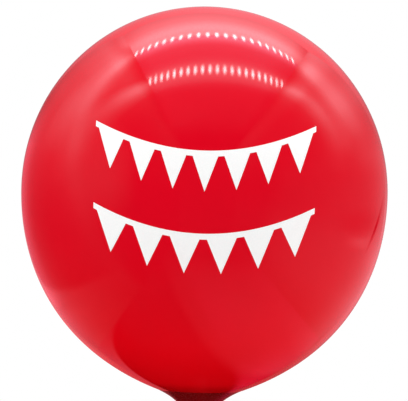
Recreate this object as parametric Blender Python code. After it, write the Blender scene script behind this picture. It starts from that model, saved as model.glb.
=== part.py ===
"""Printed latex balloon, blown up and tied.

The film is a nearly round bag that draws in to a dark, thicker neck. The neck gathers into a
throat, the throat runs into an overhand knot, and a short flat tail with a rolled lip hangs
from the knot. A white bunting is printed on the front, which faces -Y. The knot swings under
the throat and the tail flaps under the knot, so each hangs on an empty at its own pivot.

Units are metres, +Z is up, and the origin is the pivot in the throat, just above the knot.
"""

import math

import bpy
import numpy as np
from mathutils import Vector
from mathutils.geometry import interpolate_bezier

# Film
EQUATOR_RADIUS = 0.150
CROWN_RISE = 0.1519
SHOULDER_RADIUS = 0.0341
SHOULDER_DROP = 0.1625
SHOULDER_SLOPE = math.radians(20.1)
BELLY_HANDLE = 0.0629
SHOULDER_HANDLE = 0.0908
FILM_WALL = 0.0004

# Neck, whose radius falls off exponentially below the shoulder
SHOULDER_HEIGHT = 0.036
NECK_BOTTOM = 0.008
NECK_CORE_RADIUS = 0.0035
NECK_FALL_OFF = 0.0135
NECK_WALL = 0.0005

# Room between pieces that touch
SEAM = 0.0003

# Throat, which ends in a ball
BALL_RADIUS = 0.0040
WAIST_HEIGHT = 0.0019
THROAT_PULL = 0.0030
FLUTES = 10
FLUTE_DEPTH = 0.0004

# Knot
KNOT_TOP = -0.0012
KNOT_RIM_RADIUS = 0.0053
KNOT_RIM_ROUND = 0.0005
KNOT_FOOT_RADIUS = 0.0044
KNOT_FOOT_ROUND = 0.0008
KNOT_WAIST_RADIUS = 0.0040
KNOT_WAIST_HEIGHT = -0.0060
WRAP_HALF_WIDTH = 0.0015
WRAP_HALF_HEIGHT = 0.0033
WRAP_TILT = math.radians(5.0)

# Tail, measured down from its own pivot
TAIL_PIVOT_HEIGHT = -0.0105
ROOT_RADIUS = 0.0026
ROOT_WAIST = 0.0015
TAIL_LENGTH = 0.0220
TAIL_WALL = 0.0006
TAIL_HOLLOW_TOP = 0.0080
MOUTH_HALF_WIDTH = 0.0100
MOUTH_HALF_DEPTH = 0.0044
BEAD_RADIUS = 0.0011

# Print
PRINT_LIFT = 0.0004
PRINT_THICKNESS = 0.0003
PRINT_HALF_WIDTH = 0.086
PRINT_DROP = 0.0088
CORD_WIDTH = 0.0045
SWAG_SAG = 0.022
PENNANT_DEPTH = 0.027
PENNANT_FILL = 0.80
UPPER_SWAG = 0.060
UPPER_PENNANTS = 7
LOWER_SWAG = -0.004
LOWER_PENNANTS = 6

# Facets
AROUND = 40
CROWN_STEPS = 10
BELLY_STEPS = 14
NECK_STEPS = 7
THROAT_STEPS = 5
BALL_STEPS = 5
SOCKET_STEPS = 4
SPOOL_STEPS = 8
WRAP_AROUND = 28
WRAP_SECTION = 10
TAIL_AROUND = 28
TAIL_STEPS = 7
BEAD_SECTION = 8
PRINT_ROWS = 3
FINE_STEPS = 400

# Worked out from the sizes above
EQUATOR_HEIGHT = SHOULDER_HEIGHT + SHOULDER_DROP
PRINT_HEIGHT = EQUATOR_HEIGHT - PRINT_DROP
SOCKET_RADIUS = BALL_RADIUS + SEAM
DIMPLE_RADIUS = ROOT_RADIUS + SEAM
WRAP_RADIUS = KNOT_WAIST_RADIUS + SEAM + WRAP_HALF_WIDTH

# Finishes, each a name, a colour and a roughness
RED_FILM = ("red_film", (0.62, 0.006, 0.012), 0.16)
DARK_NECK = ("dark_neck", (0.16, 0.001, 0.002), 0.35)
WHITE_INK = ("white_ink", (0.90, 0.90, 0.88), 0.40)


def clear_scene():
    """Remove every object that the file opens with."""
    for item in list(bpy.data.objects):
        bpy.data.objects.remove(item, do_unlink=True)


def dressed(finish):
    """Principled material of a finish, made once."""
    label, colour, roughness = finish
    material = bpy.data.materials.get(label)
    if material is None:
        material = bpy.data.materials.new(label)
        material.use_nodes = True
        shader = material.node_tree.nodes["Principled BSDF"]
        shader.inputs["Base Color"].default_value = (*colour, 1.0)
        shader.inputs["Roughness"].default_value = roughness
        shader.inputs["Metallic"].default_value = 0.0
    return material


def add_object(name, points, edges, faces, finish, parent=None):
    """Smooth mesh object with one finish, in the frame of its parent where it has one."""
    mesh = bpy.data.meshes.new(name)
    mesh.from_pydata([tuple(point) for point in points], edges, faces)
    mesh.materials.append(dressed(finish))
    mesh.shade_smooth()
    item = bpy.data.objects.new(name, mesh)
    item.parent = parent
    bpy.context.scene.collection.objects.link(item)
    return item


def add_pivot(name, height, parent=None):
    """Empty on a joint's axis, at a height in the frame of its parent."""
    pivot = bpy.data.objects.new(name, None)
    pivot.location = (0.0, 0.0, height)
    pivot.parent = parent
    bpy.context.scene.collection.objects.link(pivot)
    return pivot


def turned(name, outline, finish, ring=False, parent=None):
    """Solid turned about Z from an outline of (radius, height) points, top to bottom.

    The outline starts and ends on the axis, or is a closed ring.
    """
    count = len(outline)
    edges = [(i, i + 1) for i in range(count - 1)]
    if ring:
        edges.append((count - 1, 0))
    points = [(radius, 0.0, height) for radius, height in outline]
    item = add_object(name, points, edges, [], finish, parent)
    screw = item.modifiers.new("turn", "SCREW")
    screw.axis = "Z"
    screw.angle = math.tau
    screw.steps = AROUND
    screw.render_steps = AROUND
    screw.use_merge_vertices = True
    screw.merge_threshold = 0.00005
    return item


def lofted(name, rings, finish, poles=None, parent=None):
    """Solid lofted over rings of equal count, closed by a pole at each end or on itself.

    The rings run anticlockwise seen from above, and follow each other down the outer side.
    """
    count = len(rings[0])
    points = [point for ring in rings for point in ring]
    faces = []
    for level in range(len(rings) if poles is None else len(rings) - 1):
        upper = level * count
        lower = (level + 1) % len(rings) * count
        for i in range(count):
            j = (i + 1) % count
            faces.append((upper + i, lower + i, lower + j, upper + j))
    if poles is not None:
        first = len(points)
        last = first + 1
        below = (len(rings) - 1) * count
        points += poles
        for i in range(count):
            j = (i + 1) % count
            faces.append((first, i, j))
            faces.append((last, below + j, below + i))
    return add_object(name, points, [], faces, finish, parent)


def oval(half_width, half_depth, height, count):
    """Ring of points on an oval about Z."""
    turns = [math.tau * i / count for i in range(count)]
    return [(half_width * math.cos(a), half_depth * math.sin(a), height) for a in turns]


def arc(radius, height, start, end, steps):
    """Points (radius, height) of a sphere's section, by angle up from its middle."""
    angles = np.linspace(start, end, steps + 1)
    return [(radius * math.cos(a), height + radius * math.sin(a)) for a in angles]


def inset(outline, wall):
    """Outline of (radius, height) points moved inwards by a wall, its ends kept on the axis."""
    path = np.array(outline)
    run = np.gradient(path, axis=0)
    run /= np.linalg.norm(run, axis=1)[:, None]
    moved = path + wall * np.column_stack((run[:, 1], -run[:, 0]))
    on_axis = path[:, 0] < wall
    moved[on_axis, 0] = 0.0
    return [tuple(point) for point in moved]


def meridian(crown_steps, belly_steps):
    """Outer side of the film from the crown to the shoulder.

    It is a quarter of an ellipse down to the equator, then one Bezier curve to the shoulder.
    """
    crown = [
        (EQUATOR_RADIUS * math.sin(a), EQUATOR_HEIGHT + CROWN_RISE * math.cos(a))
        for a in np.linspace(0.0, math.pi / 2, crown_steps + 1)
    ]
    reach = Vector((math.cos(SHOULDER_SLOPE), math.sin(SHOULDER_SLOPE))) * SHOULDER_HANDLE
    equator = Vector((EQUATOR_RADIUS, EQUATOR_HEIGHT))
    shoulder = Vector((SHOULDER_RADIUS, SHOULDER_HEIGHT))
    belly = interpolate_bezier(
        equator, equator - Vector((0.0, BELLY_HANDLE)), shoulder + reach, shoulder, belly_steps + 1
    )
    return crown + [tuple(point)[:2] for point in belly[1:]]


def neck_radius(height):
    """Outer radius of the neck at a height."""
    fall = math.exp((height - SHOULDER_HEIGHT) / NECK_FALL_OFF)
    return NECK_CORE_RADIUS + (SHOULDER_RADIUS - NECK_CORE_RADIUS) * fall


def envelope():
    """Red film, open at the bottom where the neck starts."""
    outer = meridian(CROWN_STEPS, BELLY_STEPS)
    return turned("envelope", outer + inset(outer, FILM_WALL)[::-1], RED_FILM)


def neck_collar():
    """Dark funnel of thicker film below the shoulder."""
    heights = np.linspace(SHOULDER_HEIGHT - SEAM / 2, NECK_BOTTOM, NECK_STEPS + 1)
    outer = [(neck_radius(height), height) for height in heights]
    return turned("neck_collar", outer + inset(outer, NECK_WALL)[::-1], DARK_NECK, ring=True)


def throat_gather():
    """Neck gathered in flutes, down to the ball that the knot swings on."""
    top = NECK_BOTTOM - SEAM
    waist = math.sqrt(BALL_RADIUS**2 - WAIST_HEIGHT**2)
    drawn_in = interpolate_bezier(
        Vector((neck_radius(top), top)),
        Vector((neck_radius(top) - THROAT_PULL, top - THROAT_PULL)),
        Vector((waist, WAIST_HEIGHT + THROAT_PULL)),
        Vector((waist, WAIST_HEIGHT)),
        THROAT_STEPS + 1,
    )
    start = math.asin(WAIST_HEIGHT / BALL_RADIUS)
    ball = arc(BALL_RADIUS, 0.0, start, -math.pi / 2, BALL_STEPS)[1:-1]
    rings = []
    for radius, height in [tuple(point)[:2] for point in drawn_in] + ball:
        share = max(0.0, (height - WAIST_HEIGHT) / (top - WAIST_HEIGHT))
        ring = []
        for i in range(AROUND):
            a = math.tau * i / AROUND
            fluted = radius + FLUTE_DEPTH * share * math.cos(FLUTES * a)
            ring.append((fluted * math.cos(a), fluted * math.sin(a), height))
        rings.append(ring)
    poles = [(0.0, 0.0, top), (0.0, 0.0, -BALL_RADIUS)]
    return lofted("throat_gather", rings, DARK_NECK, poles)


def knot_core(pivot):
    """Strand through the middle of the knot: a spool with a socket above and a dimple below."""
    rim = math.asin(KNOT_TOP / SOCKET_RADIUS)
    socket = arc(SOCKET_RADIUS, 0.0, -math.pi / 2, rim, SOCKET_STEPS)
    dimple = arc(DIMPLE_RADIUS, TAIL_PIVOT_HEIGHT, 0.0, math.pi / 2, SOCKET_STEPS)
    socket[0] = (0.0, -SOCKET_RADIUS)
    dimple[-1] = (0.0, TAIL_PIVOT_HEIGHT + DIMPLE_RADIUS)
    upper = KNOT_TOP - KNOT_RIM_ROUND
    lower = TAIL_PIVOT_HEIGHT + KNOT_FOOT_ROUND
    spool = []
    for height in np.linspace(upper, lower, SPOOL_STEPS + 1):
        away = height - KNOT_WAIST_HEIGHT
        end = upper if away > 0 else lower
        flare = KNOT_RIM_RADIUS if away > 0 else KNOT_FOOT_RADIUS
        share = (away / (end - KNOT_WAIST_HEIGHT)) ** 2
        spool.append((KNOT_WAIST_RADIUS + (flare - KNOT_WAIST_RADIUS) * share, float(height)))
    rim_edge = [(KNOT_RIM_RADIUS - KNOT_RIM_ROUND / 2, KNOT_TOP)]
    foot_edge = [(KNOT_FOOT_RADIUS - KNOT_FOOT_ROUND, TAIL_PIVOT_HEIGHT + KNOT_FOOT_ROUND / 4)]
    outline = socket + rim_edge + spool + foot_edge + dimple
    return turned("knot_core", outline, DARK_NECK, parent=pivot)


def knot_wrap(pivot):
    """Turn of film around the knot's core, an oval ring that sits a little askew."""
    rings = []
    for s in range(WRAP_SECTION):
        b = math.tau * s / WRAP_SECTION
        radius = WRAP_RADIUS + WRAP_HALF_WIDTH * math.sin(b)
        rise = WRAP_HALF_HEIGHT * math.cos(b)
        ring = []
        for i in range(WRAP_AROUND):
            a = math.tau * i / WRAP_AROUND
            askew = rise + radius * math.sin(WRAP_TILT) * math.cos(a)
            ring.append((radius * math.cos(a), radius * math.sin(a), KNOT_WAIST_HEIGHT + askew))
        rings.append(ring)
    return lofted("knot_wrap", rings, DARK_NECK, parent=pivot)


def tail_sleeve(pivot):
    """Flat tube of film that widens from a ball in the knot to its open mouth."""
    start = math.asin(-ROOT_WAIST / ROOT_RADIUS)
    ball = arc(ROOT_RADIUS, 0.0, math.pi / 2, start, BALL_STEPS)[1:]
    waist = ball[-1][0]
    outer = [(radius, radius, height) for radius, height in ball]
    for t in np.linspace(0.0, 1.0, TAIL_STEPS + 1)[1:]:
        half_width = waist + (MOUTH_HALF_WIDTH - waist) * math.sin(t * math.pi / 2)
        half_depth = waist + (MOUTH_HALF_DEPTH - waist) * t * t
        height = -ROOT_WAIST - t * (TAIL_LENGTH - ROOT_WAIST)
        outer.append((half_width, half_depth, height))
    hollow = [
        (half_width - TAIL_WALL, half_depth - TAIL_WALL, height)
        for half_width, half_depth, height in outer
        if height < -TAIL_HOLLOW_TOP
    ]
    rings = [oval(*level, TAIL_AROUND) for level in outer + hollow[::-1]]
    poles = [(0.0, 0.0, ROOT_RADIUS), (0.0, 0.0, -TAIL_HOLLOW_TOP)]
    return lofted("tail_sleeve", rings, DARK_NECK, poles, pivot)


def lip_bead(pivot):
    """Rolled lip around the mouth of the tail."""
    middle = -TAIL_LENGTH - SEAM - BEAD_RADIUS
    rings = []
    for s in range(BEAD_SECTION):
        b = math.tau * s / BEAD_SECTION
        out = BEAD_RADIUS * math.sin(b) - TAIL_WALL / 2
        height = middle + BEAD_RADIUS * math.cos(b)
        rings.append(oval(MOUTH_HALF_WIDTH + out, MOUTH_HALF_DEPTH + out, height, TAIL_AROUND))
    return lofted("lip_bead", rings, DARK_NECK, parent=pivot)


def on_film(across, height, lift):
    """Point on the front of the film, lifted off it along its normal."""
    path = np.array(meridian(FINE_STEPS, FINE_STEPS))[::-1]
    run = np.gradient(path, axis=0)
    run /= np.linalg.norm(run, axis=1)[:, None]
    radius = np.interp(height, path[:, 1], path[:, 0])
    out = np.interp(height, path[:, 1], run[:, 1])
    up = np.interp(height, path[:, 1], -run[:, 0])
    turn = np.arcsin(across / radius)
    lifted = radius + lift * out
    return np.stack((lifted * np.sin(turn), -lifted * np.cos(turn), height + lift * up), axis=-1)


def swag(name, end_height, pennants):
    """Printed cord that sags between its ends, with a row of pennants joined to its lower edge."""
    corner = PENNANT_FILL / 2
    shares = [0.0] + [0.5 + corner * k / 3 for k in range(-3, 4)]
    columns = [(index + share) / pennants for index in range(pennants) for share in shares]
    along = np.array(columns + [1.0])
    across = PRINT_HALF_WIDTH * (2.0 * along - 1.0)
    middle = end_height - SWAG_SAG * (1.0 - (across / PRINT_HALF_WIDTH) ** 2)
    from_tip = np.abs(along * pennants % 1.0 - 0.5) / corner
    hang = PENNANT_DEPTH * np.clip(1.0 - from_tip, 0.0, 1.0)
    top = middle + CORD_WIDTH / 2
    bottom = middle - CORD_WIDTH / 2 - hang
    down = np.linspace(0.0, 1.0, PRINT_ROWS + 1)[:, None]
    heights = PRINT_HEIGHT + top + (bottom - top) * down
    points = on_film(np.broadcast_to(across, heights.shape), heights, PRINT_LIFT).reshape(-1, 3)
    count = len(along)
    faces = []
    for row in range(PRINT_ROWS):
        for i in range(count - 1):
            first = row * count + i
            faces.append((first, first + count, first + count + 1, first + 1))
    item = add_object(name, points, [], faces, WHITE_INK)
    ink = item.modifiers.new("ink", "SOLIDIFY")
    ink.thickness = PRINT_THICKNESS
    ink.offset = 1.0
    return item


def build():
    """Film, neck and print stand still; the knot hangs on one pivot and the tail on the next."""
    clear_scene()
    envelope()
    neck_collar()
    throat_gather()
    swag("print_upper_swag", UPPER_SWAG, UPPER_PENNANTS)
    swag("print_lower_swag", LOWER_SWAG, LOWER_PENNANTS)
    knot_pivot = add_pivot("knot_pivot", 0.0)
    knot_core(knot_pivot)
    knot_wrap(knot_pivot)
    tail_pivot = add_pivot("tail_pivot", TAIL_PIVOT_HEIGHT, knot_pivot)
    tail_sleeve(tail_pivot)
    lip_bead(tail_pivot)


build()
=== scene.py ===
"""Looks of a printed latex balloon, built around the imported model.

The film, neck, knot, tail and print are surfaces worked out as whole arrays, in metres, with
+Z up and the printed front facing -Y. The origin is the pivot in the throat, above the knot.
"""

import logging
import math
from dataclasses import dataclass
from enum import Enum

import bpy
import numpy as np
from mathutils import Matrix, Vector
from numpy.typing import NDArray


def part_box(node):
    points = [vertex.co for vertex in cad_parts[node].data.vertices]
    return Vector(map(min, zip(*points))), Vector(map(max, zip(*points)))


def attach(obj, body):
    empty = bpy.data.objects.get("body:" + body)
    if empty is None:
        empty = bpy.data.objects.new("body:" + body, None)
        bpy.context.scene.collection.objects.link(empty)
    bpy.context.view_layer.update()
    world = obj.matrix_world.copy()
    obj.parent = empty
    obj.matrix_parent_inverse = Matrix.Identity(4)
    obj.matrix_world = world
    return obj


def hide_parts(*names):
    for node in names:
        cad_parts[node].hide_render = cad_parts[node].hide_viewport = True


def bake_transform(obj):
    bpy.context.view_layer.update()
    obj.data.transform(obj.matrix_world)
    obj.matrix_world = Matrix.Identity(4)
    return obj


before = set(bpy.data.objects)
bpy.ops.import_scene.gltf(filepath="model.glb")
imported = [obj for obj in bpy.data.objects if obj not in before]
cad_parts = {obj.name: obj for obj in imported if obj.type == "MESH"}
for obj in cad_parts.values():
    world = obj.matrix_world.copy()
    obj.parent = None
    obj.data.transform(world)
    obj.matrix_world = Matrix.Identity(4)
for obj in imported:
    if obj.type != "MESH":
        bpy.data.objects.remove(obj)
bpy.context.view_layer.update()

Array = NDArray[np.float64]
Triple = tuple[float, float, float]
Stops = tuple[tuple[int, int], ...]
Pleats = tuple[tuple[float, int], ...]
Piece = bpy.types.Object
Owner = bpy.types.Material | bpy.types.World
Node = bpy.types.Node
Socket = bpy.types.NodeSocket
Value = Node | Socket | float | tuple[float, ...] | Vector | None

LOG = logging.getLogger("balloon")
MM = 0.001
UPPER_SWAG_RISE = 51.2 * MM
LOWER_SWAG_RISE = -12.8 * MM


def smooth(values: Array | float, start: float, end: float) -> Array | float:
    """Share from 0 at start to 1 at end, eased as 3t^2 - 2t^3 of the clipped share t."""
    t = np.clip((values - start) / (end - start), 0.0, 1.0)
    return t * t * (3.0 - 2.0 * t)


def turn(count: int) -> Array:
    """Angles of one turn about Z, anticlockwise seen from above, without the last one."""
    return np.linspace(0.0, math.tau, count, endpoint=False)


def polar(radius: Array | float, angle: Array, height: Array | float) -> Array:
    """Points at a radius from Z, an angle about it from +X, and a height."""
    x, y = radius * np.cos(angle), radius * np.sin(angle)
    return np.stack(np.broadcast_arrays(x, y, height), axis=-1)


def unit(vectors: Array) -> Array:
    """Vectors over their lengths."""
    return vectors / np.maximum(np.linalg.norm(vectors, axis=-1, keepdims=True), 1e-12)


def gathers(angle: Array, pleats: Pleats, phases: list[Array | float]) -> Array:
    """Gathers in film: round ridges with sharp creases between them, in two or three sets.

    A set adds weight * (2 |sin(ridges * angle / 2 + phase)|^0.8 - 1). That is minus its weight
    in a crease and plus its weight on a ridge.

    Args:
        angle: Angles about the gathered film.
        pleats: Weight of each set, and its ridges in one turn.
        phases: Phase of each set, where pi is one ridge, which may change along the film.

    Returns:
        The height of the gathers, from -1 to 1.
    """
    return sum(
        weight * (2.0 * np.abs(np.sin(ridges * angle / 2.0 + phase)) ** 0.8 - 1.0)
        for (weight, ridges), phase in zip(pleats, phases)
    )


def put(name: str, data: bpy.types.ID) -> Piece:
    """Put a new object in the scene, at the origin.

    Args:
        name: Name of the object.
        data: Its mesh, lamp or camera.

    Returns:
        The object.
    """
    piece = bpy.data.objects.new(name, data)
    bpy.context.scene.collection.objects.link(piece)
    return piece


def flat_mesh(name: str, points: Array, faces: Array, material: bpy.types.Material) -> Piece:
    """Flat faces for the studio.

    Args:
        name: Name of the new object.
        points: Corner points.
        faces: Indices of each face's corners.
        material: What it is made of.

    Returns:
        The new object.
    """
    mesh = bpy.data.meshes.new(name)
    mesh.from_pydata(points.tolist(), [], faces.tolist())
    mesh.materials.append(material)
    return put(name, mesh)


def skin(
    name: str,
    rings: Array,
    poles: tuple[Array, Array] | None = None,
    closed: bool = False,
    crease: float | None = None,
) -> Piece:
    """Smooth mesh over rings of points, with its own UV map.

    Quads join each ring to the next. The rings run anticlockwise seen from their start and
    follow each other down the outer side, so the faces point outwards. U runs round a ring and
    V along the rings.

    Args:
        name: Name of the new object.
        rings: Points as (ring, point, xyz).
        poles: First and last point, each joined to its end ring by a fan of triangles.
        closed: True if the last ring joins the first, as on a bead.
        crease: Angle between faces above which an edge is sharp.

    Returns:
        The new object, at the origin.
    """
    levels, count = rings.shape[:2]
    spans = levels if closed else levels - 1
    level, column = np.meshgrid(np.arange(spans), np.arange(count), indexing="ij")
    steps = [(level, column), (level + 1, column), (level + 1, column + 1), (level, column + 1)]
    quads = np.stack([r % levels * count + c % count for r, c in steps], axis=-1).reshape(-1, 4)
    quad_uv = np.stack([np.stack((c / count, r / spans), -1) for r, c in steps], axis=-2)
    points = rings.reshape(-1, 3)
    fans = np.zeros((0, 3), int)
    fan_uv = np.zeros((0, 3, 2))
    if poles is not None:
        points = np.vstack((points, poles))
        here, ahead = np.arange(count), (np.arange(count) + 1) % count
        first, last = len(points) - 2, len(points) - 1
        base = (levels - 1) * count
        top = np.stack((np.full(count, first), here, ahead), -1)
        foot = np.stack((np.full(count, last), base + ahead, base + here), -1)
        fans = np.vstack((top, foot))
        u = here / count
        top_uv = np.stack((np.stack((u, 0 * u), -1),) * 3, axis=1)
        fan_uv = np.vstack((top_uv, top_uv + np.array([0.0, 1.0])))
    corner_points = np.concatenate((quads.ravel(), fans.ravel()))
    starts = np.concatenate(
        (np.arange(len(quads)) * 4, len(quads) * 4 + np.arange(len(fans)) * 3)
    )
    mesh = bpy.data.meshes.new(name)
    mesh.vertices.add(len(points))
    mesh.vertices.foreach_set("co", points.astype(np.float32).ravel())
    mesh.loops.add(len(corner_points))
    mesh.loops.foreach_set("vertex_index", corner_points.astype(np.int32))
    mesh.polygons.add(len(starts))
    mesh.polygons.foreach_set("loop_start", starts.astype(np.int32))
    mesh.update(calc_edges=True)
    layer = mesh.uv_layers.new(name="surface")
    coordinates = np.concatenate((quad_uv.reshape(-1, 2), fan_uv.reshape(-1, 2)))
    layer.data.foreach_set("uv", coordinates.astype(np.float32).ravel())
    mesh.validate()
    mesh.shade_smooth()
    if crease is not None:
        mesh.set_sharp_from_angle(angle=crease)
    return put(name, mesh)


def normals(rings: Array) -> Array:
    """Unit normals of a grid of rings: the step down the grid crossed with the step round it.

    Args:
        rings: Points as (ring, point, xyz).

    Returns:
        The normals, which point outwards.
    """
    down = np.gradient(rings, axis=0)
    around = np.roll(rings, -1, axis=1) - np.roll(rings, 1, axis=1)
    return unit(np.cross(down, around))


def walled(rings: Array, wall: float) -> Array:
    """Rings of the outer side, then those of the inner side, a wall further in, on the way back."""
    inner = rings - wall * normals(rings)
    return np.concatenate((rings, inner[::-1]), axis=0)


class Graph:
    """Nodes of one material or world."""

    def __init__(self, owner: Owner) -> None:
        """Switch the owner's nodes on, which starts it with Blender's own ones."""
        owner.use_nodes = True
        self.nodes, self.links = owner.node_tree.nodes, owner.node_tree.links

    def fill(self, node: Node, *values: Value) -> Node:
        """Fill a node's inputs in order.

        Args:
            node: The node.
            values: Constant, socket, or node whose first output is meant, or None for an input
                that keeps its default.

        Returns:
            The node.
        """
        for target, value in zip(node.inputs, values):
            if isinstance(value, Node):
                value = value.outputs[0]
            if isinstance(value, Socket):
                self.links.new(value, target)
            elif value is not None:
                target.default_value = value
        return node

    def add(self, kind: str, *values: Value) -> Node:
        """Add a node of a kind and fill its inputs."""
        return self.fill(self.nodes.new(kind), *values)

    def maths(self, operation: str, *values: Value, vector: bool = False) -> Node:
        """Add one step of arithmetic.

        Args:
            operation: Blender's name for it.
            values: What it works on.
            vector: True if those are vectors.

        Returns:
            The node.
        """
        node = self.nodes.new("ShaderNodeVectorMath" if vector else "ShaderNodeMath")
        node.operation = operation
        return self.fill(node, *values)

    def place(self, kind: str) -> Socket:
        """Object or UV coordinates, or in a world its direction, which is called Generated."""
        return self.nodes.new("ShaderNodeTexCoord").outputs[kind]

    def span(self, value: Value, low: float, high: float, to_low: float, to_high: float) -> Node:
        """Map a value from one range to another, eased and clamped.

        Args:
            value: What is mapped.
            low: Value that gives to_low.
            high: Value that gives to_high.
            to_low: Result at and below low.
            to_high: Result at and above high.

        Returns:
            The node with the mapped value.
        """
        node = self.add("ShaderNodeMapRange", value, low, high, to_low, to_high)
        node.interpolation_type = "SMOOTHSTEP"
        return node

    def curve(self, value: Value, stops: Stops) -> Node:
        """Run a smooth curve through a few stops.

        Args:
            value: Distance that the curve is read at.
            stops: Distances in millimetres and the shares there in percent, which hold on
                past both ends.

        Returns:
            The node with the share.
        """
        first, last = stops[0][0], stops[-1][0]
        reading = self.add("ShaderNodeMapRange", value, first / 1000, last / 1000)
        ramp = self.add("ShaderNodeValToRGB", reading)
        ramp.color_ramp.interpolation = "CARDINAL"
        elements = ramp.color_ramp.elements
        for _ in stops[2:]:
            elements.new(0.5)
        for element, (where, percent) in zip(elements, stops):
            element.position = (where - first) / (last - first)
            element.color = (*[percent / 100] * 3, 1.0)
        return ramp


class Shader(Graph):
    """Principled material, put together step by step."""

    def __init__(self, name: str, roughness: float, ior: float) -> None:
        """Start a material with the values that are the same all over it.

        Args:
            name: Name of the material.
            roughness: Roughness before any pattern.
            ior: Refractive index, which sets how much the surface mirrors.
        """
        self.material = bpy.data.materials.new(name)
        super().__init__(self.material)
        self.principled = self.nodes["Principled BSDF"]
        self.principled.inputs["Roughness"].default_value = roughness
        self.principled.inputs["IOR"].default_value = ior
        self.principled.inputs["Metallic"].default_value = 0.0
        self.roughness = roughness

    def height(self) -> Socket:
        """Height above the throat, from the Object coordinates."""
        return self.add("ShaderNodeSeparateXYZ", self.place("Object")).outputs["Z"]

    def noise(
        self, scale: float, detail: float, stretch: Triple = (1.0, 1.0, 1.0), kind: str = "Object"
    ) -> Node:
        """Fractal noise around 0.5, with scale * stretch cells to a metre or to the UV map."""
        mapped = self.add("ShaderNodeMapping", self.place(kind), None, None, stretch)
        return self.add("ShaderNodeTexNoise", mapped, None, scale, detail)

    def mix(self, share: Value, first: Socket | Triple, second: Socket | Triple) -> Socket:
        """Mix two colours, each a socket or a linear colour.

        Args:
            share: Share of the second colour.
            first: Colour where the share is 0.
            second: Colour where the share is 1.

        Returns:
            The mixed colour.
        """
        ends = [(*end, 1.0) if isinstance(end, tuple) else end for end in (first, second)]
        node = self.nodes.new("ShaderNodeMix")
        node.data_type = "RGBA"
        return self.fill(node, share, *[None] * 5, *ends).outputs[2]

    def colour(self, source: Socket) -> None:
        """Use a socket as the base colour."""
        self.links.new(source, self.principled.inputs["Base Color"])

    def vary(self, grain: Node, least: float, most: float) -> None:
        """Let a noise scale the roughness, from the least to the most."""
        rough = self.span(grain, 0.3, 0.7, self.roughness * least, self.roughness * most)
        self.links.new(rough.outputs[0], self.principled.inputs["Roughness"])

    def bump(self, height: Node, depth: float, strength: float) -> None:
        """Relief from a height, on top of any that is there.

        Args:
            height: Height from 0 to 1.
            depth: Height of 1 in metres.
            strength: Share of the relief that is used.
        """
        node = self.add("ShaderNodeBump", strength, depth)
        self.links.new(height.outputs[0], node.inputs["Height"])
        normal = self.principled.inputs["Normal"]
        if normal.is_linked:
            self.links.new(normal.links[0].from_socket, node.inputs["Normal"])
        self.links.new(node.outputs[0], normal)


@dataclass(frozen=True)
class StretchedLatex:
    """Glossy red film, blown up tight, with painted light up top and painted shade above the neck.

    The pinker belly colour, from the equator up, is painted light from the ceiling. Below the
    equator the colour deepens towards the shoulder, where the film is less stretched, and the
    shade adds painted shade above the neck over that deeper film. The rim is the thick film at the
    shoulder. The shade and the rim are shares of the thick film's colour, which fade over their
    reach. The spot at the top is where the film is least stretched after the neck.
    """

    # Belly colour: the film's red, made pinker as painted light from the ceiling.
    belly: Triple = (0.735, 0.0020, 0.0136)
    low: Triple = (0.725, 0.0005, 0.0042)
    thick: Triple = (0.33, 0.0005, 0.0015)
    roughness: float = 0.05
    ior: float = 1.50
    # Shade: painted shade above the neck, over the film that deepens towards the shoulder.
    shade: float = 0.34
    shade_reach: float = 45.0 * MM
    rim: float = 0.85
    rim_reach: float = 9.0 * MM
    spot: float = 0.55
    spot_edge: float = 3.0 * MM
    spot_middle: float = 0.6 * MM
    mottle: float = 0.05

    def shader(self, outline: "Outline") -> Shader:
        """Make the material.

        Args:
            outline: Outline of the film, whose heights set where the colour deepens.

        Returns:
            The material.
        """
        shader = Shader("stretched_latex", self.roughness, self.ior)
        height, cloud = shader.height(), shader.noise(14.0, 3.0)
        shoulder, top = outline.shoulder_height, outline.crown_height
        # From the low colour to the pinker belly: the pink is painted light from the ceiling.
        rise = shader.span(height, shoulder, outline.equator_height, 0.0, 1.0)
        colour = shader.mix(rise, self.low, self.belly)
        for value, start, end, at_start, at_end in (
            # The shade is painted shade above the neck; rim, spot and mottle are the film's own.
            (height, shoulder, shoulder + self.shade_reach, self.shade, 0.0),
            (height, shoulder, shoulder + self.rim_reach, self.rim, 0.0),
            (height, top - self.spot_edge, top - self.spot_middle, 0.0, self.spot),
            (cloud, 0.35, 0.70, 0.0, self.mottle),
        ):
            share = shader.span(value, start, end, at_start, at_end)
            colour = shader.mix(share, colour, self.thick)
        shader.colour(colour)
        shader.vary(shader.noise(60.0, 2.0), 0.80, 1.25)
        shader.bump(shader.noise(30.0, 1.0), 0.02 * MM, 0.15)
        return shader


@dataclass(frozen=True)
class ThickLatex:
    """Dark red film that is hardly stretched: smooth and satin, with fine creases lengthwise."""

    deep: Triple = (0.122, 0.0002, 0.0008)
    thin: Triple = (0.165, 0.0004, 0.0013)
    roughness: float = 0.16
    ior: float = 1.50
    shine: float = 0.50
    streaked: float = 0.6
    clouded: float = 0.3

    def shader(self, name: str) -> Shader:
        """Make the material.

        Args:
            name: Name of the material.

        Returns:
            The material.
        """
        shader = Shader(name, self.roughness, self.ior)
        shader.principled.inputs["Specular IOR Level"].default_value = self.shine
        streaks = shader.noise(2.0, 2.0, (24.0, 1.0, 1.0), "UV")
        cloud = shader.noise(180.0, 2.0)
        share = shader.span(streaks, 0.35, 0.75, 0.0, self.streaked)
        colour = shader.mix(share, self.deep, self.thin)
        colour = shader.mix(shader.span(cloud, 0.4, 0.8, 0.0, self.clouded), colour, self.thin)
        shader.colour(colour)
        shader.vary(shader.noise(700.0, 2.0), 0.85, 1.3)
        shader.bump(streaks, 0.05 * MM, 0.2)
        shader.bump(cloud, 0.04 * MM, 0.08)
        return shader


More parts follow.
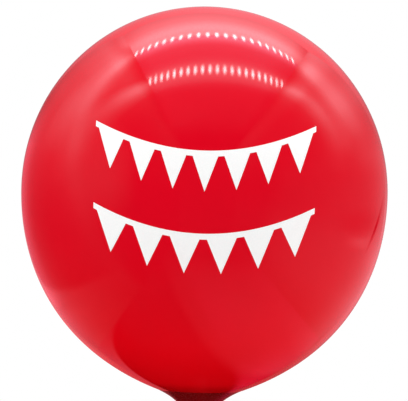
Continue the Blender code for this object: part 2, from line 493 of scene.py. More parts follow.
@dataclass(frozen=True)
class PrintInk:
    """White rubbery ink, screen printed before the film was stretched, with a faint rosy grain."""

    white: Triple = (0.97, 0.97, 0.965)
    worn: Triple = (0.90, 0.74, 0.74)
    roughness: float = 0.24
    ior: float = 1.46
    grained: float = 0.35
    clouded: float = 0.12

    def shader(self) -> Shader:
        """Make the material.

        Returns:
            The material.
        """
        shader = Shader("print_ink", self.roughness, self.ior)
        grain, cloud = shader.noise(900.0, 3.0), shader.noise(45.0, 2.0)
        share = shader.span(grain, 0.52, 0.80, 0.0, self.grained)
        colour = shader.mix(share, self.white, self.worn)
        colour = shader.mix(shader.span(cloud, 0.5, 0.8, 0.0, self.clouded), colour, self.worn)
        shader.colour(colour)
        shader.vary(grain, 0.85, 1.3)
        shader.bump(grain, 0.03 * MM, 0.2)
        return shader


@dataclass
class Outline:
    """Outer side of the film, turned about Z.

    It is a quarter of an ellipse from the crown to the equator, then one cubic Bezier curve to
    the shoulder, then an exponential fall to the throat.
    """

    crown_height: float = 0.3504
    equator_radius: float = 0.150
    shoulder_height: float = 0.036
    shoulder_radius: float = 0.0341
    shoulder_drop: float = 0.1625
    shoulder_slope: float = math.radians(20.1)
    belly_handle: float = 0.0629
    shoulder_handle: float = 0.0908
    neck_core: float = 0.0035
    neck_fall: float = 0.0135
    neck_join: float = 0.014
    throat_waist: float = 0.0038
    fine: int = 600

    @property
    def equator_height(self) -> float:
        """Height of the widest place."""
        return self.shoulder_height + self.shoulder_drop

    def curve(self, crown_rows: int, belly_rows: int) -> tuple[Array, Array]:
        """Radius and height down the film.

        Args:
            crown_rows: Steps from the crown to the equator.
            belly_rows: Steps from the equator to the shoulder.

        Returns:
            The radii and the heights, from the crown to the shoulder.
        """
        a = np.linspace(0.0, math.pi / 2, crown_rows + 1)
        rise = self.crown_height - self.equator_height
        crown = (self.equator_radius * np.sin(a), self.equator_height + rise * np.cos(a))
        t = np.linspace(0.0, 1.0, belly_rows + 1)[1:]
        reach = self.shoulder_handle
        radii = (
            self.equator_radius,
            self.equator_radius,
            self.shoulder_radius + reach * math.cos(self.shoulder_slope),
            self.shoulder_radius,
        )
        heights = (
            self.equator_height,
            self.equator_height - self.belly_handle,
            self.shoulder_height + reach * math.sin(self.shoulder_slope),
            self.shoulder_height,
        )
        shares = np.stack(((1 - t) ** 3, 3 * (1 - t) ** 2 * t, 3 * (1 - t) * t**2, t**3))
        return (
            np.concatenate((crown[0], np.array(radii) @ shares)),
            np.concatenate((crown[1], np.array(heights) @ shares)),
        )

    def neck(self, height: Array) -> Array:
        """Radius of the neck and throat.

        It is the core radius plus an exponential fall below the shoulder, and from the join down
        to the origin a cubic that leaves with the same slope and ends upright at the waist.

        Args:
            height: Heights at or below the shoulder.

        Returns:
            The radii.
        """
        flare = self.shoulder_radius - self.neck_core
        funnel = self.neck_core + flare * np.exp((height - self.shoulder_height) / self.neck_fall)
        end = flare * math.exp((self.neck_join - self.shoulder_height) / self.neck_fall)
        slope = self.neck_join * end / self.neck_fall
        t = np.clip(height / self.neck_join, 0.0, 1.0)
        rise = self.neck_core + end - self.throat_waist
        gathered = self.throat_waist + rise * t**2 * (3 - 2 * t) + slope * t**2 * (t - 1)
        return np.where(height > self.neck_join, funnel, gathered)

    def on_front(self, across: Array, height: Array, lift: float) -> Array:
        """Points on the front of the film, lifted off it along its normal.

        The radius and the normal are read from the fine curve at each height, and the turn
        about Z is the arcsine of the place across over the radius.

        Args:
            across: Distances to the right of the middle, seen from the front.
            height: Heights above the throat.
            lift: Distance off the film.

        Returns:
            The points.
        """
        radii, heights = self.curve(self.fine, self.fine)
        path = np.stack((radii, heights), -1)[::-1]
        run = unit(np.gradient(path, axis=0))
        radius = np.interp(height, path[:, 1], path[:, 0])
        out = np.interp(height, path[:, 1], run[:, 1])
        up = np.interp(height, path[:, 1], -run[:, 0])
        a = np.arcsin(across / radius)
        lifted = radius + lift * out
        return np.stack((lifted * np.sin(a), -lifted * np.cos(a), height + lift * up), -1)


@dataclass
class Envelope:
    """Blown-up film from the crown to the shoulder."""

    outline: Outline
    wall: float = 0.3 * MM
    around: int = 192
    crown_rows: int = 56
    belly_rows: int = 60
    crease: float = math.radians(60.0)

    def build(self) -> Piece:
        """Turn the outline about Z and close it with an inner side, open at the bottom.

        Returns:
            The film.
        """
        radii, heights = self.outline.curve(self.crown_rows, self.belly_rows)
        rings = polar(radii[1:, None], turn(self.around), heights[1:, None])
        top = np.array((0.0, 0.0, heights[0]))
        poles = (top, top - np.array((0.0, 0.0, self.wall)))
        piece = skin("envelope_film", walled(rings, self.wall), poles, crease=self.crease)
        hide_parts("envelope")
        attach(piece, "balloon")
        return piece


@dataclass
class Neck:
    """Funnel of thick film from the shoulder into the knot, gathered in pleats as it narrows."""

    outline: Outline
    wall: float = 0.4 * MM
    lowest: float = -3.2 * MM
    around: int = 240
    rows: int = 110
    pleats: Pleats = ((0.55, 9), (0.30, 14), (0.15, 23))
    depth: float = 0.17
    pleats_full: float = 4.0 * MM
    pleats_gone: float = 27.0 * MM
    twist: float = 26.0
    crease: float = math.radians(75.0)

    def build(self) -> Piece:
        """Turn the neck's outline about Z, with pleats that deepen and twist towards the throat.

        The pleats scale the radius by up to their depth. Each set twists at its own rate. The
        rows stand closer together towards the throat.

        Returns:
            The film.
        """
        share = np.linspace(0.0, 1.0, self.rows)[:, None] ** 0.8
        shoulder = self.outline.shoulder_height
        height = shoulder + share * (self.lowest - shoulder)
        a = turn(self.around)[None, :]
        phases = [k + self.twist * (k - 0.7) * height for k in range(len(self.pleats))]
        deep = self.depth * (1.0 - smooth(height, self.pleats_full, self.pleats_gone))
        radius = self.outline.neck(height) * (1.0 + deep * gathers(a, self.pleats, phases))
        rings = polar(radius, a, height)
        piece = skin("neck_film", walled(rings, self.wall), closed=True, crease=self.crease)
        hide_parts("neck_collar", "throat_gather")
        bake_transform(piece)
        return piece


def strand(
    path: Array, half_out: Array, half_up: Array, around: int, depth: float, pleats: Pleats,
    twist: float, up: Triple,
) -> Array:
    """Rings of a pleated strand along a path.

    Each ring is an oval square to the path. Its radius is scaled by two sets of gathers, which
    turn against each other along the path.

    Args:
        path: Centre of each ring.
        half_out: Half-width of each oval, square to the up direction.
        half_up: Half-height of each oval.
        around: Points in a ring.
        depth: Depth of the gathers as a share of the radius.
        pleats: The two sets of gathers.
        twist: Phase that they gain from end to end, where pi is one ridge.
        up: Direction that the ovals' height leans to.

    Returns:
        The rings.
    """
    run = unit(np.gradient(path, axis=0))
    side = unit(np.cross(run, np.array(up)))
    rise = np.cross(side, run)
    a = turn(around)[None, :]
    along = np.linspace(0.0, 1.0, len(path))[:, None]
    phase = twist * along
    scale = 1.0 + depth * gathers(a, pleats, [phase, 1.0 - phase])
    out = (half_out[:, None] * np.cos(a) * scale)[..., None] * side[:, None, :]
    high = (half_up[:, None] * np.sin(a) * scale)[..., None] * rise[:, None, :]
    return path[:, None, :] + out - high


@dataclass
class Knot:
    """Overhand knot: a strand through the middle and a turn of the same film round it."""

    around: int = 96
    top: float = -0.6 * MM
    foot: float = -11.2 * MM
    core_rows: int = 60
    core_radius: float = 3.55 * MM
    core_swell: float = 0.95 * MM
    core_taper: float = 0.90 * MM
    core_sway: tuple[float, float] = (0.25 * MM, 0.20 * MM)
    core_depth: float = 0.13
    core_pleats: Pleats = ((0.6, 8), (0.4, 13))
    core_twist: float = 1.4
    middle: float = -6.0 * MM
    turn_rows: int = 150
    turn_start: float = math.radians(60.0)
    turn_root: float = 1.4 * MM
    turn_radius: float = 5.05 * MM
    turn_share: float = 1.22
    turn_drop: float = 3.4 * MM
    turn_half_out: float = 2.05 * MM
    turn_half_up: float = 2.75 * MM
    turn_slim: float = 0.28
    turn_depth: float = 0.10
    turn_pleats: Pleats = ((0.6, 7), (0.4, 12))
    turn_twist: float = 2.2

    def build(self) -> list[Piece]:
        """Build the strand and the turn."""
        return [self.core(), self.wrap()]

    def core(self) -> Piece:
        """Strand down the middle, widest under the turn and drawn in at both ends.

        Its radius swells as a power of a sine and tapers as a square. Its middle sways as a wave.

        Returns:
            The strand.
        """
        share = np.linspace(0.0, 1.0, self.core_rows)
        height = self.top + share * (self.foot - self.top)
        sideways, forwards = self.core_sway
        path = np.stack((sideways * np.sin(6 * share), forwards * np.cos(5 * share), height), -1)
        swell = self.core_swell * np.sin(math.pi * share) ** 0.7
        radius = self.core_radius + swell - self.core_taper * share**2
        rings = strand(path, radius, radius, self.around, self.core_depth, self.core_pleats,
                       self.core_twist, up=(0, 1, 0))
        piece = skin("knot_strand", rings, (path[0], path[-1]))
        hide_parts("knot_core")
        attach(piece, "knot")
        return piece

    def wrap(self) -> Piece:
        """Turn of film that comes out of the strand, goes round it on a slant and tucks back in.

        The distance from the axis rises from the strand's middle to the turn's radius and falls
        again, as a power of a sine, and the height drops evenly along the turn.

        Returns:
            The turn.
        """
        share = np.linspace(0.0, 1.0, self.turn_rows)
        hump = np.sin(math.pi * share)
        angle = self.turn_start - math.tau * self.turn_share * (share - 0.5) - math.pi / 2
        away = self.turn_root + (self.turn_radius - self.turn_root) * hump**0.30
        height = self.middle + self.turn_drop * (0.5 - share)
        path = polar(away, angle, height)
        slim = 1.0 - self.turn_slim + self.turn_slim * hump**0.5
        out, up = self.turn_half_out * slim, self.turn_half_up * slim
        rings = strand(path, out, up, self.around, self.turn_depth, self.turn_pleats,
                       self.turn_twist, up=(0, 0, 1))
        piece = skin("knot_turn", rings, (path[0], path[-1]))
        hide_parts("knot_wrap")
        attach(piece, "knot")
        return piece


@dataclass
class Tail:
    """Short tail below the knot: a flat tube that fans out to a mouth with a rolled lip."""

    pivot: float = -10.5 * MM
    start: float = -8.6 * MM
    length: float = 22.0 * MM
    root: float = 2.35 * MM
    half_width: float = 10.0 * MM
    half_depth: float = 4.4 * MM
    wall: float = 0.45 * MM
    bead: float = 1.1 * MM
    bead_wave: tuple[float, float] = (0.07, 0.05)
    wave: float = 0.55 * MM
    pleats: Pleats = ((0.6, 9), (0.4, 16))
    pleat_depth: float = 0.16
    pleats_fade: tuple[float, float] = (0.15, 0.75)
    around: int = 200
    rows: int = 90
    bead_around: int = 28
    crease: float = math.radians(75.0)

    def mouth(self, a: Array, share: Array | float) -> Array:
        """Outer side of the tail at a share of its length.

        The section is an oval that widens as a sine and deepens as a square of the share, and
        its middle and its edge wave a little more towards the mouth.

        Args:
            a: Angles about the tail.
            share: Share of the length, 0 in the knot and 1 at the mouth.

        Returns:
            The points.
        """
        fan = np.sin(np.clip(share, 0, 1) * math.pi / 2)
        width = self.root + (self.half_width - self.root) * fan
        depth = self.root + (self.half_depth - self.root) * share**2
        wave = self.wave * share**2
        x = width * np.cos(a) + 0.5 * wave * np.sin(3 * a)
        y = depth * np.sin(a) + wave * np.cos(2 * a + 0.6) + 0.9 * wave * np.sin(3.0 * share)
        low = self.start + share * (self.pivot - self.length - self.start)
        z = low + 0.9 * wave * np.cos(2 * a + 1.1) + 0.5 * wave * np.sin(5 * a)
        deep = self.pleat_depth * (1.0 - smooth(share, *self.pleats_fade))
        scale = 1 + deep * gathers(a, self.pleats, [1.5 * share, 0.4 - share])
        return np.stack((x * scale, y * scale, z), axis=-1)

    def build(self) -> list[Piece]:
        """Build the sleeve and its rolled lip."""
        return [self.sleeve(), self.lip()]

    def sleeve(self) -> Piece:
        """Flat tube, closed inside the knot.

        Its inner side ends a fifth of its rows short of the root, where a flat end closes it.

        Returns:
            The sleeve.
        """
        share = np.linspace(0.0, 1.0, self.rows)[:, None]
        outer = self.mouth(turn(self.around)[None, :], share)
        both = walled(outer, self.wall)[:-(self.rows // 5)]
        poles = (outer[0].mean(axis=0), both[-1].mean(axis=0))
        piece = skin("tail_film", both, poles, crease=self.crease)
        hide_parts("tail_sleeve")
        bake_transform(piece)
        return piece

    def lip(self) -> Piece:
        """Rolled lip: a bead of slightly uneven thickness along the edge of the mouth.

        Its rings stand square to the edge. They are centred on the middle of the wall, three
        quarters of their radius past the edge.

        Returns:
            The lip.
        """
        a = turn(self.around)
        edge = self.mouth(a, 1.0)
        drop = unit(edge - self.mouth(a, 0.985))
        along = unit(np.roll(edge, -1, axis=0) - np.roll(edge, 1, axis=0))
        out = unit(np.cross(drop, along))
        slow, fast = self.bead_wave
        radius = self.bead * (1.0 + slow * np.cos(3 * a + 1) + fast * np.cos(7 * a))
        centre = edge - 0.5 * self.wall * out + 0.75 * radius[:, None] * drop
        b = turn(self.bead_around)[:, None, None]
        rings = centre + radius[:, None] * (np.sin(b) * out - np.cos(b) * drop)
        piece = skin("lip_roll", rings, closed=True)
        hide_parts("lip_bead")
        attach(piece, "tail")
        return piece


@dataclass
class Swag:
    """Printed cord that sags between its ends, with pennants along its lower edge."""

    name: str
    node: str
    end_height: float
    pennants: int
    half_width: float = 0.086
    sag: float = 0.022
    cord: float = 0.0045
    pennant_depth: float = 0.027
    pennant_fill: float = 0.80
    lift: float = 0.05 * MM
    thickness: float = 0.09 * MM
    steps: int = 8
    rows: int = 14
    crease: float = math.radians(40.0)

    def build(self, outline: Outline) -> Piece:
        """Lay the print on the film.

        The cord's middle is a parabola. Below it each pennant hangs as a triangle, whose depth
        falls evenly from its tip to its two corners.

        Args:
            outline: Film that the print lies on.

        Returns:
            The print.
        """
        corner = self.pennant_fill / 2
        inside = 0.5 + corner * np.linspace(-1.0, 1.0, 2 * self.steps + 1)
        shares = np.concatenate(([0.0], inside))
        along = (np.arange(self.pennants)[:, None] + shares).ravel() / self.pennants
        along = np.append(along, 1.0)
        across = self.half_width * (2 * along - 1)
        middle = self.end_height - self.sag * (1 - (across / self.half_width) ** 2)
        from_tip = np.abs(along * self.pennants % 1.0 - 0.5) / corner
        hang = self.pennant_depth * np.clip(1 - from_tip, 0, 1)
        top = middle + self.cord / 2
        bottom = middle - self.cord / 2 - hang
        down = np.linspace(0, 1, self.rows)
        heights = top[:, None] + (bottom - top)[:, None] * down
        wide = np.broadcast_to(across[:, None], heights.shape)
        face = outline.on_front(wide, heights, self.lift + self.thickness)
        back = outline.on_front(wide, heights, self.lift)
        rings = np.concatenate((face[:, ::-1], back), axis=1)
        poles = (rings[0].mean(axis=0), rings[-1].mean(axis=0))
        piece = skin(self.name, rings, poles, crease=self.crease)
        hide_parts(self.node)
        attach(piece, "balloon")
        return piece


class Axis(Enum):
    """Axis of the scene, by its number in a row of coordinates."""

    X = 0
    Y = 1
    Z = 2


class Tint(Enum):
    """Colour of the light on a wall: white from the lamps, redder where the ball throws it."""

    WHITE = (1.0, 1.0, 1.08)
    PINK = (1.3, 1.0, 1.4)
    ROSY = (2.2, 1.0, 1.12)
    RED = (5.0, 1.0, 1.4)
    DEEP = (8.0, 1.0, 1.2)
    BOUNCE = (25.0, 1.0, 3.0)


X, Y, Z = Axis


@dataclass(frozen=True)
class Glow:
    """Patch of light on a wall of the light box, or a shade where its strength is negative.

    It is strength * across(p - line) * along(q). Here p is the place on the axis, measured from
    the ball's middle, q is the place on the wall's other axis, and the line is
    c0 + c1 q + c2 q^2. Both falloffs run smoothly through a few stops, in millimetres and
    percent.
    """

    strength: float
    axis: Axis
    line: Triple
    across: Stops
    along: Stops
    tint: Tint = Tint.WHITE


class Lamp(Graph):
    """Emission for the parts of the studio that only mirrored rays see."""

    def __init__(self, name: str) -> None:
        """Start a bare material.

        Args:
            name: Name of the material, and of the mesh that it is put on.
        """
        self.material = bpy.data.materials.new(name)
        super().__init__(self.material)
        self.nodes.clear()
        self.material.cycles.emission_sampling = "NONE"

    def mesh(self, points: Array, faces: Array) -> Piece:
        """Make the lit mesh, marked as stage that only mirrored rays see.

        Args:
            points: Corner points.
            faces: Indices of each face's corners.

        Returns:
            The new object.
        """
        piece = flat_mesh(self.material.name, points, faces, self.material)
        piece.visible_camera = False
        piece.visible_diffuse = False
        piece.visible_transmission = False
        piece.visible_volume_scatter = False
        piece.visible_shadow = False
        return piece


@dataclass(frozen=True)
class LightBar:
    """Bar of small bright lamps under the ceiling of the light box.

    The bar's line is y = c0 + c1 x + c2 x^2. Each lamp leans by the fan times its place x.
    """

    name: str
    line: Triple
    left: float
    right: float
    half_width: float
    half_depth: float
    strength: float
    fan: float
    height: float = 0.448
    lamps: int = 21
    colour: tuple[float, ...] = (1.0, 0.98, 1.0, 1.0)

    def build(self, ball: Vector) -> None:
        """Make the bar as one mesh of quads, one to a lamp, each with its own UV.

        The emission fades from each lamp's middle to nothing at its oval edge.

        Args:
            ball: Middle of the ball, that the bar's places are measured from.
        """
        lamp = Lamp(self.name)
        away = lamp.maths("LENGTH", lamp.place("UV"), vector=True).outputs["Value"]
        fade = lamp.span(away, 1.0, 0.0, 0.0, self.strength)
        emission = lamp.add("ShaderNodeEmission", self.colour, fade)
        both = lamp.add("ShaderNodeAddShader", emission, lamp.add("ShaderNodeBsdfTransparent"))
        lamp.add("ShaderNodeOutputMaterial", both)
        x = np.linspace(self.left, self.right, self.lamps)
        y = self.line[0] + self.line[1] * x + self.line[2] * x**2
        middle = np.stack((x, y, 0 * x + self.height), -1) + np.array(ball)
        square = np.array([(-1.0, -1.0), (1.0, -1.0), (1.0, 1.0), (-1.0, 1.0)])
        reach = np.zeros((self.lamps, 4, 3))
        reach[..., :2] = square * (self.half_width, self.half_depth)
        reach[..., 0] -= self.fan * x[:, None] * reach[..., 1]
        points = (middle[:, None, :] + reach).reshape(-1, 3)
        piece = lamp.mesh(points, np.arange(len(points)).reshape(-1, 4))
        layer = piece.data.uv_layers.new(name="lamp")
        layer.data.foreach_set("uv", np.tile(square, (self.lamps, 1)).ravel())


@dataclass(frozen=True)
class LightBox:
    """Walls, ceiling and floor of the light box and its two bars, as the film mirrors them.

    Places are measured from the ball's middle. The box is open towards the camera, so the light
    on its walls fades out there.
    """

    ball: Vector
    left: float = -0.25
    right: float = 0.32
    back: float = 0.40
    front: float = -1.00
    ceiling: float = 0.45
    floor: float = -0.35
    back_bar: Triple = (0.047, 0.09, 0.318)
    front_bar: Triple = (-0.181, 0.09, 0.300)
    middle: Triple = (0.0, 0.0, 0.0)
    floor_edge: Triple = (0.062, 0.42, -0.35)
    full_width: Stops = ((-270, 60), (-200, 100), (250, 100), (300, 60))
    under_ceiling: Stops = ((370, 0), (400, 30), (430, 90), (450, 120))
    down_right: Stops = ((-350, 62), (-250, 87), (-170, 107), (-100, 100), (-50, 70), (30, 56),
                         (80, 54), (140, 20), (200, 0))

    # Light behind the back bar, between the bars, round the front bar and before it.
    ceiling_glows: tuple[Glow, ...] = (
        Glow(3.2, Y, back_bar,
             ((-12, 0), (4, 100), (50, 100), (80, 91), (120, 66), (170, 43), (240, 29), (400, 16)),
             ((-270, 68), (-200, 92), (-100, 100), (80, 104), (200, 97), (270, 78), (320, 40))),
        Glow(1.9, Y, back_bar,
             ((-240, 0), (-200, 25), (-100, 31), (-70, 38), (-45, 66), (-15, 100), (4, 0)),
             ((-270, 40), (-200, 88), (0, 100), (200, 95), (320, 42)), Tint.PINK),
        Glow(1.35, Y, front_bar,
             ((-110, 0), (-80, 10), (-35, 78), (0, 100), (30, 85), (50, 28), (90, 0)), full_width),
        Glow(0.45, Y, front_bar,
             ((-600, 0), (-400, 18), (-160, 34), (-120, 45), (-80, 90), (-40, 100), (20, 0)),
             full_width, Tint.PINK),
    )

    # A streak below each bar, light under the ceiling, two patches, the base, the light above its
    # crease and the light low down.
    left_glows: tuple[Glow, ...] = (
        Glow(2.9, Y, (-0.121, 0.375, 0),
             ((-200, 2), (-120, 7), (-60, 21), (-30, 56), (0, 103), (30, 74), (70, 46),
              (130, 28), (250, 15), (500, 9)),
             ((-200, 2), (-20, 5), (70, 16), (150, 36), (230, 52), (310, 82), (350, 100),
              (390, 74), (450, 28))),
        Glow(2.6, Y, (-0.072, -0.3, 0),
             ((-200, 2), (-100, 6), (-60, 15), (-30, 55), (0, 105), (20, 74), (45, 22), (80, 12),
              (200, 3)),
             ((0, 0), (70, 6), (150, 16), (230, 42), (270, 66), (350, 100), (390, 80), (450, 40))),
        Glow(0.9, Y, middle,
             ((40, 0), (100, 35), (170, 95), (220, 82), (300, 56), (400, 40)), under_ceiling),
        Glow(0.26, Y, (-0.02, 0, 0),
             ((-60, 0), (-10, 100), (20, 90), (80, 0)),
             ((50, 0), (120, 80), (200, 100), (280, 0))),
        Glow(0.24, Y, (-0.2, 0, 0),
             ((-160, 0), (-60, 80), (0, 100), (40, 78), (80, 33), (130, 0)),
             ((-120, 0), (-50, 35), (0, 90), (50, 100), (120, 70), (200, 0))),
        Glow(0.15, Y, middle,
             ((-60, 0), (0, 10), (80, 45), (120, 75), (220, 115), (400, 125)),
             ((-200, 0), (-170, 90), (-130, 115), (-60, 100), (-10, 170), (30, 170), (70, 80),
              (140, 0)), Tint.RED),
        Glow(0.155, Z, (-0.172, 0.14, 0),
             ((-180, 65), (-60, 100), (-14, 100), (2, 35), (12, 20), (60, 15), (120, 0)),
             ((-260, 0), (-100, 70), (100, 102), (400, 145)), Tint.ROSY),
        Glow(0.125, Z, (-0.215, 0.05, 0),
             ((-130, 45), (-30, 90), (0, 100), (30, 60), (60, 0)),
             ((-100, 0), (0, 25), (120, 60), (300, 110), (400, 100)), Tint.RED),
    )

    # A streak below each bar, a patch, light under the ceiling, the base, its shade towards the
    # open front, a slit, a bright fold and a dim band above it.
    right_glows: tuple[Glow, ...] = (
        Glow(2.6, Y, (0.06, -0.267, 0.9),
             ((-200, 3), (-120, 10), (-80, 22), (-50, 50), (-20, 90), (0, 100), (60, 75),
              (100, 50), (160, 31), (400, 16)),
             ((0, 0), (70, 3), (130, 13), (190, 41), (230, 57), (310, 60), (390, 100), (450, 45))),
        Glow(2.7, Y, (-0.102, 0.382, -1.02),
             ((-200, 3), (-100, 9), (-60, 24), (-30, 65), (0, 100), (30, 52), (60, 25),
              (100, 10), (200, 3)),
             ((50, 0), (110, 10), (190, 32), (230, 46), (310, 58), (350, 100), (390, 95),
              (420, 60), (450, 40))),
        Glow(0.2, Y, (-0.03, 0, 0),
             ((-50, 0), (-10, 90), (10, 100), (50, 0)),
             ((80, 0), (120, 90), (170, 100), (220, 0))),
        Glow(0.4, Y, middle,
             ((120, 0), (200, 50), (260, 90), (320, 100), (400, 90)), under_ceiling),
        Glow(0.42, Y, middle,
             ((-300, 70), (-120, 70), (30, 74), (140, 92), (400, 112)), down_right, Tint.ROSY),
        Glow(-0.294, Y, (0, 0.45, 0),
             ((-600, 87), (-450, 80), (-360, 56), (-250, 34), (-150, 13), (-60, 0)), down_right,
             Tint.ROSY),
        Glow(-0.24, Z, (-0.221, 1.371, -2.17),
             ((-22, 0), (-4, 100), (4, 100), (14, 0)),
             ((110, 0), (140, 100), (180, 95), (220, 50), (340, 0)), Tint.ROSY),
        Glow(0.19, Z, (-0.085, 0.05, 0),
             ((-18, 0), (0, 100), (12, 0)),
             ((-50, 0), (-10, 60), (40, 100), (100, 45), (170, 0)), Tint.ROSY),
        Glow(-0.09, Z, (-0.055, 0.05, 0),
             ((-22, 0), (-5, 100), (10, 100), (40, 0)),
             ((-120, 0), (-30, 90), (80, 100), (200, 40), (280, 0)), Tint.ROSY),
    )

    # Light that rises towards the ceiling, light at both sides low down, and a red bounce.
    back_glows: tuple[Glow, ...] = (
        Glow(0.64, Z, middle,
             ((0, 0), (200, 50), (360, 76), (450, 100)),
             ((-250, 66), (0, 97), (180, 100), (320, 92)), Tint.ROSY),
        Glow(0.42, Z, middle,
             ((-350, 42), (-200, 100), (-100, 95), (0, 75), (100, 20), (200, 0)),
             ((-250, 70), (-140, 10), (0, 0), (120, 10), (220, 60), (320, 110)), Tint.ROSY),
        Glow(0.1, Z, middle,
             ((-350, 100), (-100, 100), (0, 50), (100, 0)),
             ((-250, 30), (-180, 90), (0, 80), (150, 50), (320, 10)), Tint.DEEP),
    )

    # Two steps of light on the right of a dark middle, one on its left, faint light before it,
    # the ball's red bounce and the white end on the far right.
    floor_glows: tuple[Glow, ...] = (
        Glow(0.075, X, floor_edge,
             ((-25, 0), (10, 90), (50, 100), (300, 100)),
             ((-600, 7), (-480, 25), (-380, 42), (-280, 70), (-100, 100), (100, 77), (400, 90)),
             Tint.RED),
        Glow(0.12, X, floor_edge,
             ((-10, 0), (50, 30), (150, 75), (250, 100)),
             ((-600, 15), (-480, 50), (-380, 80), (100, 100), (400, 90)), Tint.RED),
        Glow(0.12, X, (-0.243, 0.17, 0.62),
             ((-100, 100), (-12, 95), (4, 10), (12, 0)),
             ((-120, 0), (-40, 50), (20, 70), (100, 85), (400, 100)), Tint.RED),
        Glow(0.027, Y, middle,
             ((-600, 10), (-480, 35), (-380, 60), (-280, 100), (-200, 100), (-50, 50), (20, 0)),
             ((-250, 120), (100, 90), (320, 50)), Tint.RED),
        Glow(0.029, X, (0.068, 0.15, -0.45),
             ((-8, 0), (12, 90), (40, 100), (120, 40), (220, 0)),
             ((-600, 10), (-380, 40), (-180, 70), (-50, 5), (50, 50), (150, 100), (300, 115),
              (400, 70)), Tint.BOUNCE),
        Glow(0.09, X, (0.22, 0, 0),
             ((0, 0), (60, 80), (100, 100)),
             ((-100, 30), (100, 80), (400, 100))),
    )

    def wall(self, name: str, square: Axis, reach: float, glows: tuple[Glow, ...]) -> None:
        """Make one of the walls, as wide as the box, with an emission that sums its glows.

        Args:
            name: Name of the wall.
            square: Axis that it stands square to.
            reach: Its place on that axis.
            glows: Light on it.
        """
        spans = [(self.left, self.right), (self.front, self.back), (self.floor, self.ceiling)]
        spans[square.value] = (reach, reach)
        low, high = np.array(spans).T
        first, second = (axis.value for axis in Axis if axis is not square)
        corners = np.tile(low, (4, 1))
        corners[1:3, first] = high[first]
        corners[2:, second] = high[second]
        lamp = Lamp(name)
        measured = lamp.maths("SUBTRACT", lamp.place("Object"), self.ball, vector=True)
        place = lamp.add("ShaderNodeSeparateXYZ", measured).outputs
        total = None
        for glow in glows:
            across = place[glow.axis.value]
            along = place[first + second - glow.axis.value]
            start, lean, bow = glow.line
            bent = lamp.maths("MULTIPLY_ADD", along, bow, lean)
            line = lamp.maths("MULTIPLY_ADD", bent, along, start)
            level = lamp.curve(lamp.maths("SUBTRACT", across, line), glow.across)
            level = lamp.maths("MULTIPLY", level, lamp.curve(along, glow.along))
            level = lamp.maths("MULTIPLY", level, glow.strength)
            light = lamp.maths("SCALE", glow.tint.value, None, None, level, vector=True)
            total = light if total is None else lamp.maths("ADD", total, light, vector=True)
        lamp.add("ShaderNodeOutputMaterial", lamp.add("ShaderNodeEmission", total))
        lamp.mesh(corners + np.array(self.ball), np.arange(4)[None, :])

    def build(self) -> None:
        """Make the walls and the bars."""
        self.wall("box_ceiling", Z, self.ceiling, self.ceiling_glows)
        self.wall("box_left", X, self.left, self.left_glows)
        self.wall("box_right", X, self.right, self.right_glows)
        self.wall("box_back", Y, self.back, self.back_glows)
        self.wall("box_floor", Z, self.floor, self.floor_glows)
        LightBar("bar_back", self.back_bar, left=-0.241, right=0.289, half_width=0.0085,
                 half_depth=0.030, strength=15.0, fan=1.9).build(self.ball)
        LightBar("bar_front", self.front_bar, left=-0.240, right=0.313, half_width=0.0100,
                 half_depth=0.039, strength=19.0, fan=1.6).build(self.ball)


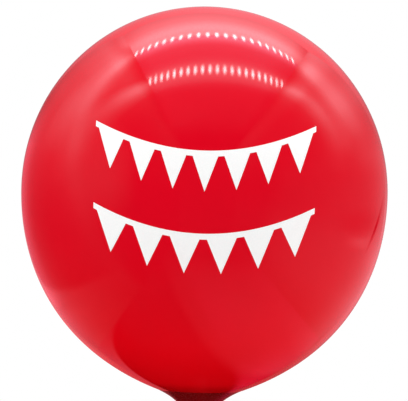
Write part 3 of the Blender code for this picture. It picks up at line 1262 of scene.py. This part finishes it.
@dataclass
class Studio:
    """Pale floor, plain backdrop, soft light and the light box that the film mirrors."""

    ball: Vector
    floor_height: float = -0.42
    floor_radius: float = 4.5
    floor_grey: float = 0.86
    floor_roughness: float = 0.7
    fade_start: float = 0.15
    fade_end: float = 0.95
    dome_mean: float = 1.55
    dome_slope: Triple = (0.216, 0.44, 0.194)
    dome_ends: float = 0.82
    mirrored_grey: float = 0.02
    key_size: float = 1.6
    key_power: float = 22.0
    key_place: Triple = (-0.7, -1.3, 2.0)

    def build(self) -> None:
        """Build the stage and its lights."""
        self.world()
        self.floor()
        self.key()
        LightBox(self.ball).build()

    def world(self) -> None:
        """White backdrop, a dome for matt light, and dark for mirrors.

        For a direction d the dome is mean + slope . d - ends * y^2: brighter overhead and round
        the sides than before and behind the ball.
        """
        world = bpy.data.worlds.new("studio")
        bpy.context.scene.world = world
        graph = Graph(world)
        graph.nodes.clear()
        way = graph.place("Generated")
        slope = graph.maths("DOT_PRODUCT", way, self.dome_slope, vector=True).outputs["Value"]
        depth = graph.add("ShaderNodeSeparateXYZ", way).outputs["Y"]
        ends = graph.maths("MULTIPLY", depth, -self.dome_ends)
        ends = graph.maths("MULTIPLY_ADD", ends, depth, slope)
        soft = graph.add("ShaderNodeBackground", None, graph.maths("ADD", ends, self.dome_mean))
        plain = graph.add("ShaderNodeBackground", (1.0, 1.0, 1.0, 1.0))
        dark = graph.add("ShaderNodeBackground", (*[self.mirrored_grey] * 3, 1.0))
        rays = graph.add("ShaderNodeLightPath").outputs
        mirrored = graph.add("ShaderNodeMixShader", rays["Is Glossy Ray"], soft, dark)
        shown = graph.add("ShaderNodeMixShader", rays["Is Camera Ray"], mirrored, plain)
        graph.add("ShaderNodeOutputWorld", shown)

    def floor(self) -> None:
        """Round pale floor that fades into the backdrop towards its edge, clear from below."""
        rim = polar(self.floor_radius, turn(96), self.floor_height)
        material = bpy.data.materials.new("pale_floor")
        graph = Graph(material)
        shader = graph.nodes["Principled BSDF"]
        shader.inputs["Base Color"].default_value = (*[self.floor_grey] * 3, 1.0)
        shader.inputs["Roughness"].default_value = self.floor_roughness
        flat = graph.maths("MULTIPLY", graph.place("Object"), (1.0, 1.0, 0.0), vector=True)
        away = graph.maths("LENGTH", flat, vector=True).outputs["Value"]
        start, end = self.floor_radius * self.fade_start, self.floor_radius * self.fade_end
        below = graph.add("ShaderNodeNewGeometry").outputs["Backfacing"]
        hidden = graph.maths("MAXIMUM", graph.span(away, start, end, 0.0, 1.0), below)
        clear = graph.add("ShaderNodeBsdfTransparent")
        mixed = graph.add("ShaderNodeMixShader", hidden, shader, clear)
        graph.fill(graph.nodes["Material Output"], mixed)
        floor = flat_mesh("floor", rim, np.arange(len(rim))[None, :], material)
        floor.visible_glossy = False

    def key(self) -> None:
        """Wide soft lamp above and in front, which gives the knot and the floor some shade."""
        data = bpy.data.lights.new("key", "AREA")
        data.shape = "DISK"
        data.size = self.key_size
        data.energy = self.key_power
        lamp = put("key", data)
        lamp.location = self.ball + Vector(self.key_place)
        lamp.rotation_euler = (self.ball - lamp.location).to_track_quat("-Z", "Y").to_euler()
        lamp.visible_glossy = False
        lamp.visible_camera = False


@dataclass
class PhotoCamera:
    """Camera at the photograph's viewing angle: far off, level and rolled a little."""

    ball: Vector
    ball_radius: float
    distance: float = 2.4
    picture: tuple[int, int] = (408, 401)
    ball_pixel: tuple[float, float] = (204.43, 192.04)
    ball_pixel_radius: float = 183.25
    roll: float = math.radians(1.5)
    sensor: float = 36.0
    clip: tuple[float, float] = (0.05, 50.0)

    def build(self) -> None:
        """Set up the camera so that the ball's middle and radius fall on the named pixels."""
        seen = math.tan(math.asin(self.ball_radius / self.distance))
        focal = self.ball_pixel_radius / seen
        data = bpy.data.cameras.new("photo_camera")
        data.sensor_width = self.sensor
        data.lens = focal / self.picture[0] * self.sensor
        data.clip_start, data.clip_end = self.clip
        right = Vector((math.cos(self.roll), 0.0, math.sin(self.roll)))
        up = Vector((-math.sin(self.roll), 0.0, math.cos(self.roll)))
        ahead = Vector((0.0, 1.0, 0.0))
        pixel = self.distance / focal
        across = (self.ball_pixel[0] - self.picture[0] / 2) * pixel
        above = (self.picture[1] / 2 - self.ball_pixel[1]) * pixel
        camera = put("photo_camera", data)
        turned = Matrix((right, up, -ahead)).transposed().to_4x4()
        place = self.ball - ahead * self.distance - right * across - up * above
        camera.matrix_world = Matrix.Translation(place) @ turned
        bpy.context.scene.camera = camera


def dress(pieces: list[Piece], shader: Shader) -> None:
    """Put one material on several pieces and report each.

    Args:
        pieces: Pieces that share the finish.
        shader: The finish.
    """
    for piece in pieces:
        piece.data.materials.clear()
        piece.data.materials.append(shader.material)
        LOG.info("%s: %d faces, %s", piece.name, len(piece.data.polygons), shader.material.name)


def main() -> None:
    """Build the balloon's pieces in order, then the studio and the camera."""
    logging.basicConfig(level=logging.INFO, format="%(name)s %(message)s")
    low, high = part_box("envelope")
    outline = Outline(crown_height=high.z, equator_radius=high.x, shoulder_height=low.z)
    dress([Envelope(outline).build()], StretchedLatex().shader(outline))
    soft_latex = ThickLatex(roughness=0.24, ior=1.32, shine=0.35)
    dress([Neck(outline).build()], soft_latex.shader("neck_latex"))
    dress(Knot().build(), ThickLatex().shader("knot_latex"))
    dress(Tail().build(), ThickLatex().shader("tail_latex"))
    middle = outline.equator_height
    upper = Swag("print_upper", "print_upper_swag", middle + UPPER_SWAG_RISE, pennants=7)
    lower = Swag("print_lower", "print_lower_swag", middle + LOWER_SWAG_RISE, pennants=6)
    dress([upper.build(outline), lower.build(outline)], PrintInk().shader())
    ball = Vector((0.0, 0.0, middle))
    Studio(ball).build()
    PhotoCamera(ball=ball, ball_radius=outline.equator_radius).build()
    bpy.context.scene.view_settings.view_transform = "Standard"


if __name__ == "__main__":
    main()
